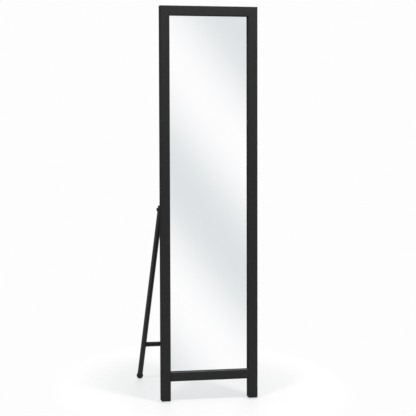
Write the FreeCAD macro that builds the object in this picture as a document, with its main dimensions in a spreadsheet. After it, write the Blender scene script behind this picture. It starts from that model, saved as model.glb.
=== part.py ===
import FreeCAD, Part
import math
import os
import re
import Sketcher

# A freestanding full-length mirror. Four square steel tubes make a slim frame that leans back a little,
# the mirror is set back inside it, and a stand of round tubes folds out behind on two hinge bolts.
# Millimetres and degrees, +Z up, +Y to the back, origin on the floor in the middle of the footprint.

SIZES = (
    ("frame_width", 400, "across the outer sides of the two posts"),
    ("frame_height", 1600, "floor to the top of the frame, along the posts"),
    ("lean_angle", 9, "how far the frame leans back from upright"),
    ("tube_width", 38, "frame tube, as seen from the front"),
    ("tube_depth", 38, "frame tube, front to back"),
    ("tube_wall", 1.5, "frame tube's wall"),
    ("tube_corner", 3, "outer corner radius of the frame tube"),
    ("rail_rise", 85.5, "floor to the underside of the bottom rail"),
    ("rail_height", 36.5, "bottom rail, as seen from the front"),
    ("cap_height", 4, "foot cap's head below the tube"),
    ("cap_heel", 6, "foot cap's level heel, on which the leaning post stands"),
    ("cap_inset", 0.5, "foot cap's sides inside the tube's sides"),
    ("cap_round", 2, "rounding of the foot cap's lower edge"),
    ("cap_stem", 16, "foot cap's plug, up into the tube"),
    ("cap_gap", 0.1, "foot cap's plug to the tube's wall"),
    ("glass_recess", 19.5, "mirror's face behind the frame's front"),
    ("glass_thickness", 4, "mirror glass"),
    ("glass_arris", 0.6, "ground edge of the glass"),
    ("edge_gap", 1, "glass and back panel to the frame round them"),
    ("block_height", 2, "setting block under the glass"),
    ("block_length", 40, "setting block along the rail"),
    ("block_inset", 50, "middle of a setting block from the post"),
    ("tape_thickness", 1, "foam tape between glass and back panel"),
    ("tape_width", 12, "foam tape strip"),
    ("tape_margin", 25, "tape's ends and outer strips from the glass edge"),
    ("tape_count", 3, "strips of tape"),
    ("panel_thickness", 6, "back panel"),
    ("lug_length", 20, "welded lug, out from the post"),
    ("lug_height", 24, "welded lug, along the post"),
    ("lug_thickness", 2, "welded lug's plate"),
    ("lug_margin", 110, "first and last lug from the rails"),
    ("lug_count", 4, "lugs on each post"),
    ("panel_screw_radius", 2, "screw through a lug into the back panel"),
    ("panel_screw_length", 7.5, "panel screw under its head"),
    ("panel_screw_head", 4, "panel screw's head radius"),
    ("panel_screw_head_rim", 1.2, "panel screw's head, its straight side"),
    ("panel_screw_head_crown", 2.8, "panel screw's head, the flat on top"),
    ("panel_screw_dome", 2.4, "panel screw's head height"),
    ("recess_length", 4, "cross recess in a screw's head"),
    ("recess_width", 1, "one arm of the cross recess"),
    ("recess_depth", 1.2, "cross recess in a screw's head"),
    ("thread_gap", 0.05, "screw or pin to the hole that it sits in"),
    ("pivot_height", 782, "stand's pivot above the floor, along the posts"),
    ("open_angle", 19, "stand's angle to the frame when it stands open"),
    ("stop_gap", 0.3, "leg plug to the post at the open stop"),
    ("bracket_thickness", 2.5, "hinge bracket's plate"),
    ("bracket_height", 52, "hinge bracket's flange along the post"),
    ("flange_margin", 2.5, "edge of the hinge bracket's flange from the post's inner side"),
    ("bend_radius", 2, "inside of the hinge bracket's bend"),
    ("ear_radius", 11, "hinge bracket's ear round the bolt"),
    ("ear_inset", 18.5, "ear's outer face from the post's outer side"),
    ("bracket_screw_pitch", 34, "between the two screws of one bracket"),
    ("bracket_screw_radius", 2.5, "bracket screw's thread"),
    ("bracket_screw_length", 12, "bracket screw under its head"),
    ("bracket_screw_head", 4.75, "bracket screw's head radius"),
    ("bracket_screw_head_rim", 1.3, "bracket screw's head, its straight side"),
    ("bracket_screw_head_crown", 3.3, "bracket screw's head, the flat on top"),
    ("bracket_screw_dome", 2.7, "bracket screw's head height"),
    ("screw_clearance", 0.25, "bracket screw to its hole in the flange"),
    ("rivet_radius", 3.5, "rivet nut's body"),
    ("rivet_length", 12, "rivet nut's body into the post"),
    ("rivet_head_radius", 4.5, "rivet nut's thin head"),
    ("rivet_head_height", 0.5, "rivet nut's thin head, which carries the bracket"),
    ("rivet_bulge_radius", 5, "rivet nut's crimp inside the wall"),
    ("rivet_bulge_height", 2, "length of that crimp"),
    ("bolt_radius", 3, "hinge bolt"),
    ("bolt_head", 7, "hinge bolt's broad head, its radius"),
    ("bolt_head_rim", 1.2, "hinge bolt's head, its straight side"),
    ("bolt_head_crown", 5, "hinge bolt's head, the flat on top"),
    ("bolt_head_height", 3, "hinge bolt's broad head"),
    ("bolt_key_width", 4, "hexagon socket across its flats"),
    ("bolt_key_depth", 2, "hexagon socket's depth"),
    ("bolt_tail", 2, "hinge bolt past its nut"),
    ("nut_width", 10, "lock nut across its flats"),
    ("nut_height", 6, "lock nut's hexagon"),
    ("collar_radius", 4.4, "lock nut's nylon collar"),
    ("collar_height", 2, "lock nut's nylon collar"),
    ("washer_radius", 6, "washer between lock nut and ear"),
    ("washer_thickness", 1.6, "washer between lock nut and ear"),
    ("hinge_gap", 0.2, "moving saddle to the ear and to the bolt's head"),
    ("bore_gap", 0.05, "hinge bolt to the bore that turns on it"),
    ("saddle_radius", 7, "saddle washer beside the leg"),
    ("saddle_wall", 1.2, "saddle washer where the leg comes closest"),
    ("leg_radius", 11, "stand leg's tube"),
    ("leg_wall", 1.2, "stand leg's wall"),
    ("leg_top", 11.5, "leg's tube above the pivot"),
    ("splay_angle", 3.6, "each leg outwards from the stand's middle line"),
    ("plug_height", 3.5, "leg plug's head above the tube"),
    ("plug_round", 3, "rounding of the leg plug's head"),
    ("plug_stem", 6, "leg plug inside the tube"),
    ("plug_gap", 0.1, "leg plug to the tube's wall"),
    ("crossbar_radius", 10, "stand crossbar's tube"),
    ("crossbar_wall", 1.2, "stand crossbar's wall"),
    ("crossbar_rise", 147.5, "crossbar above the ball feet, in the stand's plane"),
    ("weld_gap", 0.05, "crossbar's coped end to the leg"),
    ("ball_radius", 14, "rubber ball foot"),
    ("ball_rim", 6.5, "ball foot's rim above its middle"),
    ("socket_depth", 4, "ball foot's socket below its middle"),
    ("socket_gap", 0.1, "leg to the ball foot's socket"),
    ("foot_flat", 0.4, "ball foot worn flat on the floor"),
)

doc = FreeCAD.newDocument("freestanding_mirror")
sheet = doc.addObject("Spreadsheet::Sheet", "Sizes")
for row, (alias, value, meaning) in enumerate(SIZES, 1):
    sheet.set(f"A{row}", meaning)
    sheet.set(f"B{row}", str(value))
    sheet.setAlias(f"B{row}", alias)
doc.recompute()

ALIAS = re.compile(r"\b(" + "|".join(alias for alias, _, _ in SIZES) + r")\b")
AXES = {"x": "1; 0; 0", "y": "0; 1; 0", "z": "0; 0; 1"}
LEFT, RIGHT = -1, 1
MITRE_ANGLE = 45
NEAR = 0.001
SIDES = (("left", LEFT), ("right", RIGHT))


def formula(text):
    """The text with each size's name pointing at its cell."""
    return ALIAS.sub(r"Sizes.\1", text)


def measure(text):
    """What a formula comes to now."""
    return float(sheet.evalExpression(formula(text)))


def bind(thing, name, text):
    """Tie one property to a formula."""
    thing.setExpression(name, formula(text))


def placed(x, y, z, axis="z", angle="0"):
    """A placement, as a formula: turned about one axis and then moved."""
    return f"placement(vector({x}; {y}; {z}); rotation(vector({AXES[axis]}); {angle}))"


def origin(body, role):
    """One of the body's own planes or axes."""
    return next(datum for datum in body.Origin.OriginFeatures if datum.Role == role)


BODIES = []


def new_body(label, where):
    """One sub-part, with its place tied to the sizes."""
    body = doc.addObject("PartDesign::Body", label)
    body.Label = label
    body.AllowCompound = True
    bind(body, "Placement", where)
    BODIES.append(body)
    return body


def solid(body, kind, name, where, sizes):
    """A box, cylinder, cone, prism or sphere that adds to the body or cuts it."""
    feature = body.newObject("PartDesign::" + kind, name)
    for size, text in sizes.items():
        bind(feature, size, text)
    bind(feature, "Placement", where)
    return feature


def box(body, name, size, where, kind="AdditiveBox"):
    """A block of length, width and height along its own axes."""
    return solid(body, kind, name, where, dict(zip(("Length", "Width", "Height"), size)))


def cylinder(body, name, radius, height, where, kind="AdditiveCylinder"):
    """A round bar or, as a cut, a round hole, up its own z axis."""
    return solid(body, kind, name, where, {"Radius": radius, "Height": height})


def drill(body, name, radius, height, where):
    """A round hole, centred on its place along its own z axis."""
    centred = where + " * " + placed("0", "0", f"-({height}) / 2")
    return cylinder(body, name, radius, height, centred, "SubtractiveCylinder")


def rounded_outline(sketch, width, depth, corner):
    """A rectangle about the sketch's origin, four lines joined by four equal tangent arcs."""
    half_width = measure(width) / 2
    half_depth = measure(depth) / 2
    radius = measure(corner)
    first = sketch.GeometryCount
    for side in range(4):
        heading = math.radians(90 * side - 90)
        across = FreeCAD.Vector(math.cos(heading), math.sin(heading), 0)
        along = FreeCAD.Vector(-across.y, across.x, 0)
        reach, half = (half_depth, half_width) if side % 2 == 0 else (half_width, half_depth)
        start = across * reach - along * (half - radius)
        end = across * reach + along * (half - radius)
        middle = across * (reach - radius) + along * (half - radius)
        sketch.addGeometry(Part.LineSegment(start, end), False)
        circle = Part.Circle(middle, FreeCAD.Vector(0, 0, 1), radius)
        sketch.addGeometry(Part.ArcOfCircle(circle, heading, heading + math.pi / 2), False)
    lines = [first + 2 * side for side in range(4)]
    arcs = [first + 2 * side + 1 for side in range(4)]
    for side in range(4):
        sketch.addConstraint(Sketcher.Constraint("Tangent", lines[side], 2, arcs[side], 1))
        sketch.addConstraint(Sketcher.Constraint("Tangent", arcs[side], 2, lines[(side + 1) % 4], 1))
        direction = "Horizontal" if side % 2 == 0 else "Vertical"
        sketch.addConstraint(Sketcher.Constraint(direction, lines[side]))
    for arc in arcs[1:]:
        sketch.addConstraint(Sketcher.Constraint("Equal", arcs[0], arc))
    sketch.addConstraint(Sketcher.Constraint("Symmetric", arcs[0], 3, arcs[2], 3, -1, 1))
    driving = (
        (Sketcher.Constraint("Radius", arcs[0], radius), corner),
        (Sketcher.Constraint("DistanceX", lines[3], 1, lines[1], 1, 2 * half_width), width),
        (Sketcher.Constraint("DistanceY", lines[0], 1, lines[2], 1, 2 * half_depth), depth),
    )
    for constraint, text in driving:
        index = sketch.addConstraint(constraint)
        bind(sketch, f"Constraints[{index}]", text)


def rounded_pad(body, name, plane, centre, outlines, length):
    """A straight bar with rounded corners; a second outline is its hollow."""
    sketch = body.newObject("Sketcher::SketchObject", name + "_outline")
    sketch.AttachmentSupport = [(origin(body, plane), "")]
    sketch.MapMode = "FlatFace"
    for letter, text in zip("xyz", centre):
        bind(sketch, f"AttachmentOffset.Base.{letter}", text)
    for outline in outlines:
        rounded_outline(sketch, *outline)
    pad = body.newObject("PartDesign::Pad", name)
    pad.Profile = sketch
    bind(pad, "Length", length)
    return pad


def round_edges(body, name, feature, radius, chosen):
    """A fillet on the edges of a feature that the test picks."""
    doc.recompute()
    names = [f"Edge{n}" for n, edge in enumerate(feature.Shape.Edges, 1) if chosen(edge)]
    fillet = body.newObject("PartDesign::Fillet", name)
    fillet.Base = (feature, names)
    bind(fillet, "Radius", radius)
    return fillet


def repeat(body, name, row=None, mirrored=True, features=None):
    """Copies in a row (axis, count, length) and on the other side, of the whole piece or of features."""
    doc.recompute()
    group = body.newObject("PartDesign::MultiTransform", name)
    steps = []
    if row:
        axis, count, length = row
        pattern = body.newObject("PartDesign::LinearPattern", name + "_row")
        pattern.Direction = (origin(body, axis), [""])
        bind(pattern, "Occurrences", count)
        bind(pattern, "Length", length)
        steps.append(pattern)
    if mirrored:
        mirror = body.newObject("PartDesign::Mirrored", name + "_sides")
        mirror.MirrorPlane = (origin(body, "YZ_Plane"), [""])
        steps.append(mirror)
    if features:
        group.Originals = features
    else:
        group.TransformMode = "Whole shape"
    group.Transformations = steps
    body.Tip = group


# Places in the frame's own axes: x from the middle, y back from the front face, z up the posts.
POST_X = "(frame_width / 2 - tube_width / 2)"
OPENING_WIDTH = "(frame_width - 2 * tube_width)"
OPENING_BOTTOM = "(rail_rise + rail_height)"
OPENING_TOP = "(frame_height - tube_width)"
CAP_SOLE = "((tube_depth - cap_inset - cap_heel) * tan(lean_angle))"
CAP_TOP = f"({CAP_SOLE} + cap_height)"
GLASS_WIDTH = f"({OPENING_WIDTH} - 2 * edge_gap)"
GLASS_BOTTOM = f"({OPENING_BOTTOM} + block_height)"
GLASS_HEIGHT = f"({OPENING_TOP} - edge_gap - {GLASS_BOTTOM})"
PANEL_FRONT = "(glass_recess + glass_thickness + tape_thickness)"
PANEL_BACK = f"({PANEL_FRONT} + panel_thickness)"
LUG_BOTTOM = f"({OPENING_BOTTOM} + lug_margin)"
LUG_SPAN = f"({OPENING_TOP} - lug_margin - {LUG_BOTTOM})"
LUG_SCREW_X = f"({OPENING_WIDTH} / 2 - lug_length / 2)"
LUG_BACK = f"({PANEL_BACK} + lug_thickness)"
BRACKET_FRONT = "(tube_depth + rivet_head_height)"
BRACKET_BACK = f"({BRACKET_FRONT} + bracket_thickness)"
EAR_FACE = "(frame_width / 2 - ear_inset)"
BEND_START = f"({EAR_FACE} - bracket_thickness - bend_radius)"
FLANGE_EDGE = f"({OPENING_WIDTH} / 2 + flange_margin)"
BRACKET_SCREW_X = f"(({BEND_START} + {FLANGE_EDGE}) / 2)"
BRACKET_SCREW_Z = "(pivot_height - bracket_screw_pitch / 2)"

# The open stand is stopped by the rounded heads of its leg plugs, which lean on the backs of the posts.
# The pivot stands as far behind the posts as such a head reaches at that angle.
LEG_SHARE = "(sin(open_angle) * cos(splay_angle))"
PLUG_REACH = (
    f"((leg_radius - plug_round) * cos(asin({LEG_SHARE}))"
    f" + (leg_top + plug_height - plug_round) * {LEG_SHARE} + plug_round)"
)
PIVOT_Y = f"(tube_depth + {PLUG_REACH} + stop_gap)"
LEG_X = f"({EAR_FACE} + hinge_gap + saddle_wall + leg_radius)"
BOLT_SEAT = f"({LEG_X} + leg_radius + saddle_wall + hinge_gap)"
WASHER_FACE = f"({EAR_FACE} - bracket_thickness)"
NUT_FACE = f"({WASHER_FACE} - washer_thickness)"
BOLT_END = f"({NUT_FACE} - nut_height - collar_height - bolt_tail)"

# The legs are as long as it takes for the ball feet to stand on the floor with the frame at its lean.
STAND_TILT = "(open_angle - lean_angle)"
PIVOT_ABOVE_FLOOR = f"(pivot_height * cos(lean_angle) - {PIVOT_Y} * sin(lean_angle))"
BALL_MIDDLE = "(ball_radius - foot_flat)"
STAND_LENGTH = f"(({PIVOT_ABOVE_FLOOR} - {BALL_MIDDLE}) / cos({STAND_TILT}))"
LEG_LENGTH = f"({STAND_LENGTH} / cos(splay_angle))"
CROSSBAR_Z = f"(crossbar_rise - {STAND_LENGTH})"
CROSSBAR_HALF = f"({LEG_X} - {CROSSBAR_Z} * tan(splay_angle))"
FOOT_BACK = (
    f"({PIVOT_Y} * cos(lean_angle) + pivot_height * sin(lean_angle)"
    f" + {STAND_LENGTH} * sin({STAND_TILT}) + ball_radius)"
)
FOOT_FRONT = f"({CAP_TOP} * sin(lean_angle))"

FRAME = placed("0", f"-({FOOT_FRONT} + {FOOT_BACK}) / 2", "0", "x", "-lean_angle")
STAND = FRAME + " * " + placed("0", PIVOT_Y, "pivot_height", "x", "open_angle")


def leg_axis(side):
    """A leg's own axes in the stand: its z axis up the tube, from the pivot."""
    return placed(f"{side} * {LEG_X}", "0", "0", "y", f"{-side} * splay_angle")


def mitre(body, side, below):
    """Cut a top corner slantwise, on its upper or its lower side."""
    corner = placed(f"{side} * {OPENING_WIDTH} / 2", "0", OPENING_TOP, "y", f"{-MITRE_ANGLE * side}")
    drop = "-2 * tube_width" if below else "0"
    shift = placed("-2 * tube_width", "-tube_depth", drop)
    size = ("4 * tube_width", "3 * tube_depth", "2 * tube_width")
    return box(body, "mitre", size, corner + " * " + shift, "SubtractiveBox")


# The frame's tubes: two posts and a top rail mitred together, and a bottom rail between the posts.
HOLLOW_CORNER = "(tube_corner - tube_wall)"
HOLLOW_WIDTH = "(tube_width - 2 * tube_wall)"
HOLLOW_DEPTH = "(tube_depth - 2 * tube_wall)"

for word, side in SIDES:
    post = new_body(word + "_post", FRAME)
    section = (
        ("tube_width", "tube_depth", "tube_corner"),
        (HOLLOW_WIDTH, HOLLOW_DEPTH, HOLLOW_CORNER),
    )
    middle = (f"{side} * {POST_X}", "tube_depth / 2", CAP_TOP)
    rounded_pad(post, "post_tube", "XY_Plane", middle, section, f"frame_height - {CAP_TOP}")
    mitre(post, side, below=False)
    for row in range(2):
        height = f"{BRACKET_SCREW_Z} + {row} * bracket_screw_pitch"
        hole = placed(f"{side} * {BRACKET_SCREW_X}", "tube_depth", height, "x", "-90")
        drill(post, "rivet_hole", "rivet_radius + thread_gap", "4 * tube_wall", hole)

top_rail = new_body("top_rail", FRAME)
section = (
    ("tube_depth", "tube_width", "tube_corner"),
    (HOLLOW_DEPTH, HOLLOW_WIDTH, HOLLOW_CORNER),
)
middle = ("tube_depth / 2", "frame_height - tube_width / 2", "-frame_width / 2")
rounded_pad(top_rail, "top_tube", "YZ_Plane", middle, section, "frame_width")
for _, side in SIDES:
    mitre(top_rail, side, below=True)

bottom_rail = new_body("bottom_rail", FRAME)
section = (
    ("tube_depth", "rail_height", "tube_corner"),
    (HOLLOW_DEPTH, "rail_height - 2 * tube_wall", HOLLOW_CORNER),
)
middle = ("tube_depth / 2", "rail_rise + rail_height / 2", f"-{OPENING_WIDTH} / 2")
rounded_pad(bottom_rail, "bottom_tube", "YZ_Plane", middle, section, OPENING_WIDTH)

# Plastic foot caps: a plug inside the tube and a square head with a rounded edge. The post leans back, so it
# stands on the rear of the head, where a narrow heel is level with the floor.
for word, side in SIDES:
    cap = new_body(word + "_foot_cap", FRAME)
    middle = (f"{side} * {POST_X}", "tube_depth / 2")
    head = ("tube_width - 2 * cap_inset", "tube_depth - 2 * cap_inset", "tube_corner - cap_inset")
    square = rounded_pad(cap, "head", "XY_Plane", middle + (CAP_SOLE,), (head,), "cap_height")
    half_up = measure(f"{CAP_SOLE} + cap_height / 2")
    round_edges(
        cap, "head_round", square, "cap_round",
        lambda edge: all(vertex.Z < half_up for vertex in edge.Vertexes),
    )
    floor = placed("0", "0", "0", "x", "lean_angle")
    shift = placed(f"{side} * {POST_X} - tube_width", "-tube_depth", "-tube_depth")
    size = ("2 * tube_width", "3 * tube_depth", "tube_depth")
    box(cap, "heel_cut", size, floor + " * " + shift, "SubtractiveBox")
    stem = (f"{HOLLOW_WIDTH} - 2 * cap_gap", f"{HOLLOW_DEPTH} - 2 * cap_gap", HOLLOW_CORNER)
    rounded_pad(cap, "stem", "XY_Plane", middle + (CAP_TOP,), (stem,), "cap_stem")

# The mirror: the glass stands on two setting blocks and is taped to a back panel.
glass = new_body("mirror_glass", FRAME)
where = placed(f"-{GLASS_WIDTH} / 2", "glass_recess", GLASS_BOTTOM)
pane = box(glass, "pane", (GLASS_WIDTH, "glass_thickness", GLASS_HEIGHT), where)
arris = glass.newObject("PartDesign::Chamfer", "ground_edge")
arris.Base = (pane, [])
arris.UseAllEdges = True
bind(arris, "Size", "glass_arris")

blocks = new_body("setting_blocks", FRAME)
where = placed(f"{OPENING_WIDTH} / 2 - block_inset - block_length / 2", "glass_recess", OPENING_BOTTOM)
size = ("block_length", f"{PANEL_BACK} - glass_recess", "block_height")
box(blocks, "block", size, where)
repeat(blocks, "both_blocks")

tape = new_body("mirror_tape", FRAME)
where = placed(
    f"tape_margin - {GLASS_WIDTH} / 2", "glass_recess + glass_thickness", f"{GLASS_BOTTOM} + tape_margin"
)
box(tape, "strip", ("tape_width", "tape_thickness", f"{GLASS_HEIGHT} - 2 * tape_margin"), where)
row = ("X_Axis", "tape_count", f"{GLASS_WIDTH} - 2 * tape_margin - tape_width")
repeat(tape, "strips", row, mirrored=False)

panel = new_body("back_panel", FRAME)
where = placed(f"-{GLASS_WIDTH} / 2", PANEL_FRONT, GLASS_BOTTOM)
box(panel, "board", (GLASS_WIDTH, "panel_thickness", GLASS_HEIGHT), where)
pilot = placed(LUG_SCREW_X, f"{PANEL_BACK} - panel_thickness / 2", LUG_BOTTOM, "x", "-90")
hole = drill(panel, "pilot_hole", "panel_screw_radius + thread_gap", "2 * panel_thickness", pilot)
LUG_ROW = ("Z_Axis", "lug_count", LUG_SPAN)
repeat(panel, "pilot_holes", LUG_ROW, features=[hole])

# Lugs welded to the insides of the posts hold the back panel, with a pan-head screw through each.
lugs = new_body("panel_lugs", FRAME)
where = placed(f"{OPENING_WIDTH} / 2 - lug_length", PANEL_BACK, f"{LUG_BOTTOM} - lug_height / 2")
box(lugs, "lug", ("lug_length", "lug_thickness", "lug_height"), where)
centre = placed(LUG_SCREW_X, f"{PANEL_BACK} + lug_thickness / 2", LUG_BOTTOM, "x", "-90")
drill(lugs, "lug_hole", "panel_screw_radius + thread_gap", "2 * lug_thickness", centre)
repeat(lugs, "all_lugs", LUG_ROW)


def domed_head(body, name, where, dome):
    """A screw or bolt head up its own z axis: a straight rim under a cone with a flat crown."""
    cylinder(body, "head_rim", name, f"{name}_rim", where)
    cone = {"Radius1": name, "Radius2": f"{name}_crown", "Height": f"{dome} - {name}_rim"}
    solid(body, "AdditiveCone", "head_dome", where + " * " + placed("0", "0", f"{name}_rim"), cone)


def cross_recess(body, where, dome):
    """The cross for a screwdriver, cut down into a head of the given height."""
    for length, width in (("recess_length", "recess_width"), ("recess_width", "recess_length")):
        corner = placed(f"-{length} / 2", f"-{width} / 2", f"{dome} - recess_depth")
        size = (length, width, "2 * recess_depth")
        box(body, "recess", size, where + " * " + corner, "SubtractiveBox")


screws = new_body("panel_screws", FRAME)
seat = placed(LUG_SCREW_X, LUG_BACK, LUG_BOTTOM, "x", "-90")
domed_head(screws, "panel_screw_head", seat, "panel_screw_dome")
cross_recess(screws, seat, "panel_screw_dome")
tip = placed(LUG_SCREW_X, f"{LUG_BACK} - panel_screw_length", LUG_BOTTOM, "x", "-90")
cylinder(screws, "shank", "panel_screw_radius", "panel_screw_length", tip)
repeat(screws, "all_screws", LUG_ROW)

# Hinge brackets: a flange screwed to the back of the post and an ear bent back from it for the bolt.
for word, side in SIDES:
    bracket = new_body(word + "_hinge_bracket", FRAME)

    def block(name, inner, outer, depth, height):
        """A block of the bracket from its front plane, between two distances from the middle."""
        start = inner if side == RIGHT else f"-{outer}"
        where = placed(start, BRACKET_FRONT, f"pivot_height - ({height}) / 2")
        return box(bracket, name, (f"{outer} - {inner}", depth, height), where)

    block("bend_strip", FLANGE_EDGE, EAR_FACE, "bracket_thickness", "2 * ear_radius")
    ear = block("ear", WASHER_FACE, EAR_FACE, f"{PIVOT_Y} - {BRACKET_FRONT}", "2 * ear_radius")

    def upright_at(x, y):
        """A test for the edges that run up and down at a place."""
        spot = FreeCAD.Vector(side * measure(x), measure(y), measure("pivot_height"))
        return lambda edge: edge.CenterOfMass.distanceToPoint(spot) < NEAR

    outer_edge = upright_at(EAR_FACE, BRACKET_FRONT)
    inner_edge = upright_at(WASHER_FACE, BRACKET_BACK)
    bend = round_edges(bracket, "bend_outside", ear, "bend_radius + bracket_thickness", outer_edge)
    round_edges(bracket, "bend_inside", bend, "bend_radius", inner_edge)
    block("flange", FLANGE_EDGE, BEND_START, "bracket_thickness", "bracket_height")
    start = placed(f"{side} * {WASHER_FACE}", PIVOT_Y, "pivot_height", "y", f"{90 * side}")
    cylinder(bracket, "ear_end", "ear_radius", "bracket_thickness", start)
    centre = placed(f"{side} * {WASHER_FACE}", PIVOT_Y, "pivot_height", "y", "90")
    drill(bracket, "bolt_hole", "bolt_radius + thread_gap", "4 * bracket_thickness", centre)
    for row in range(2):
        height = f"{BRACKET_SCREW_Z} + {row} * bracket_screw_pitch"
        centre = placed(f"{side} * {BRACKET_SCREW_X}", BRACKET_FRONT, height, "x", "-90")
        radius = "bracket_screw_radius + screw_clearance"
        drill(bracket, "screw_hole", radius, "4 * bracket_thickness", centre)

# Rivet nuts in the backs of the posts, and the screws that hold the brackets to them.
BRACKET_ROW = ("Z_Axis", "2", "bracket_screw_pitch")

rivets = new_body("rivet_nuts", FRAME)


def rivet_at(y):
    """The lower right rivet nut's axis, pointing back, from a depth."""
    return placed(BRACKET_SCREW_X, y, BRACKET_SCREW_Z, "x", "-90")


crimp = rivet_at("tube_depth - tube_wall - rivet_bulge_height")
cylinder(rivets, "rivet_body", "rivet_radius", "rivet_length", rivet_at("tube_depth - rivet_length"))
cylinder(rivets, "rivet_head", "rivet_head_radius", "rivet_head_height", rivet_at("tube_depth"))
cylinder(rivets, "rivet_crimp", "rivet_bulge_radius", "rivet_bulge_height", crimp)
drill(rivets, "thread", "bracket_screw_radius + thread_gap", "4 * rivet_length", rivet_at("tube_depth"))
repeat(rivets, "all_rivets", BRACKET_ROW)

bracket_screws = new_body("bracket_screws", FRAME)
seat = rivet_at(BRACKET_BACK)
domed_head(bracket_screws, "bracket_screw_head", seat, "bracket_screw_dome")
cross_recess(bracket_screws, seat, "bracket_screw_dome")
tip = rivet_at(f"{BRACKET_BACK} - bracket_screw_length")
cylinder(bracket_screws, "shank", "bracket_screw_radius", "bracket_screw_length", tip)
repeat(bracket_screws, "all_screws", BRACKET_ROW)


# The hinge bolts pass through leg and ear, and a washer and a lock nut hold each one on the ear.
def outward_from(x):
    """The right-hand pivot axis, pointing outwards, from a distance off the middle."""
    return placed(x, PIVOT_Y, "pivot_height", "y", "90")


HEXAGON_RATIO = "(1 / sqrt(3))"

bolts = new_body("hinge_bolts", FRAME)
key = {"Circumradius": f"bolt_key_width * {HEXAGON_RATIO}", "Height": "bolt_head_height"}
key_seat = outward_from(f"{BOLT_SEAT} + bolt_head_height - bolt_key_depth")
cylinder(bolts, "shank", "bolt_radius", f"{BOLT_SEAT} - {BOLT_END}", outward_from(BOLT_END))
domed_head(bolts, "bolt_head", outward_from(BOLT_SEAT), "bolt_head_height")
solid(bolts, "SubtractivePrism", "key_socket", key_seat, key)
repeat(bolts, "both_bolts")

washers = new_body("hinge_washers", FRAME)
cylinder(washers, "washer", "washer_radius", "washer_thickness", outward_from(NUT_FACE))
drill(washers, "washer_hole", "bolt_radius + thread_gap", "4 * washer_thickness", outward_from(NUT_FACE))
repeat(washers, "both_washers")

nuts = new_body("hinge_nuts", FRAME)
hexagon = {"Circumradius": f"nut_width * {HEXAGON_RATIO}", "Height": "nut_height"}
collar = outward_from(f"{NUT_FACE} - nut_height - collar_height")
solid(nuts, "AdditivePrism", "hexagon", outward_from(f"{NUT_FACE} - nut_height"), hexagon)
cylinder(nuts, "collar", "collar_radius", "collar_height", collar)
drill(nuts, "thread", "bolt_radius + thread_gap", "4 * nut_height", outward_from(NUT_FACE))
repeat(nuts, "both_nuts")

# The stand: two splayed legs that turn on the bolts between saddle washers, joined by a crossbar.
BORE = "bolt_radius + bore_gap"
SADDLE_START = f"({LEG_X} - leg_radius - saddle_wall)"

for word, side in SIDES:
    where = STAND + " * " + leg_axis(side)

    leg = new_body(word + "_leg", where)
    length = f"(leg_top + {LEG_LENGTH} + socket_depth)"
    cylinder(leg, "leg_tube", "leg_radius", length, placed("0", "0", f"leg_top - {length}"))
    middle = placed("0", "0", f"leg_top - {length} / 2")
    drill(leg, "leg_hollow", "leg_radius - leg_wall", f"2 * {length}", middle)
    across = placed("0", "0", "0", "y", f"90 + {side} * splay_angle")
    drill(leg, "leg_bore", BORE, "4 * leg_radius", across)

    saddles = new_body(word + "_saddles", STAND)
    start = placed(f"{side} * {SADDLE_START}", "0", "0", "y", f"{90 * side}")
    cylinder(saddles, "saddle_bar", "saddle_radius", "2 * (leg_radius + saddle_wall)", start)
    drill(saddles, "leg_seat", "leg_radius + bore_gap", "6 * saddle_radius", leg_axis(side))
    centre = placed(f"{side} * {LEG_X}", "0", "0", "y", "90")
    drill(saddles, "saddle_bore", BORE, "4 * leg_radius", centre)

    plug = new_body(word + "_leg_plug", where)
    head = cylinder(plug, "plug_head", "leg_radius", "plug_height", placed("0", "0", "leg_top"))
    under_top = measure("leg_top + plug_height / 2")
    round_edges(plug, "plug_rounding", head, "plug_round", lambda edge: edge.BoundBox.ZMin > under_top)
    stem = placed("0", "0", "leg_top - plug_stem")
    cylinder(plug, "plug_stem_bar", "leg_radius - leg_wall - plug_gap", "plug_stem", stem)

    foot = new_body(word + "_ball_foot", where)
    middle = placed("0", "0", f"-{LEG_LENGTH}")
    solid(foot, "AdditiveSphere", "ball", middle, {"Radius": "ball_radius"})
    over = middle + " * " + placed("-ball_radius", "-ball_radius", "ball_rim")
    box(foot, "rim_cut", ("2 * ball_radius", "2 * ball_radius", "ball_radius"), over, "SubtractiveBox")
    socket = middle + " * " + placed("0", "0", "-socket_depth")
    cylinder(foot, "socket", "leg_radius + socket_gap", "2 * ball_radius", socket, "SubtractiveCylinder")
    level = placed("0", "0", "0", "y", f"{side} * splay_angle") + " * "
    level += placed("0", "0", "0", "x", f"-{STAND_TILT}") + " * "
    level += placed("-ball_radius", "-ball_radius", f"-{BALL_MIDDLE} - ball_radius")
    size = ("2 * ball_radius", "2 * ball_radius", "ball_radius")
    box(foot, "floor_flat", size, middle + " * " + level, "SubtractiveBox")

crossbar = new_body("stand_crossbar", STAND)
start = placed(f"-{CROSSBAR_HALF}", "0", CROSSBAR_Z, "y", "90")
cylinder(crossbar, "bar_tube", "crossbar_radius", f"2 * {CROSSBAR_HALF}", start)
centre = placed("0", "0", CROSSBAR_Z, "y", "90")
drill(crossbar, "bar_hollow", "crossbar_radius - crossbar_wall", f"3 * {CROSSBAR_HALF}", centre)
for _, side in SIDES:
    drill(crossbar, "cope", "leg_radius + weld_gap", f"4 * {LEG_LENGTH}", leg_axis(side))

# Every feature has to have been made, and every piece has to be sound, before any file is written.
doc.recompute()
for thing in doc.Objects:
    if "Invalid" in thing.State or "Error" in thing.State:
        raise RuntimeError(f"{thing.Name} failed: {thing.getStatusString()}")
for body in BODIES:
    if body.Shape.isNull() or not body.Shape.isValid() or not body.Shape.Solids:
        raise RuntimeError(f"{body.Label} has no sound solid")

os.makedirs("parts", exist_ok=True)
for body in BODIES:
    body.Shape.exportStep(f"parts/{body.Label}.step")
    print(body.Label, len(body.Shape.Solids), round(body.Shape.Volume, 1))
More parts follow.
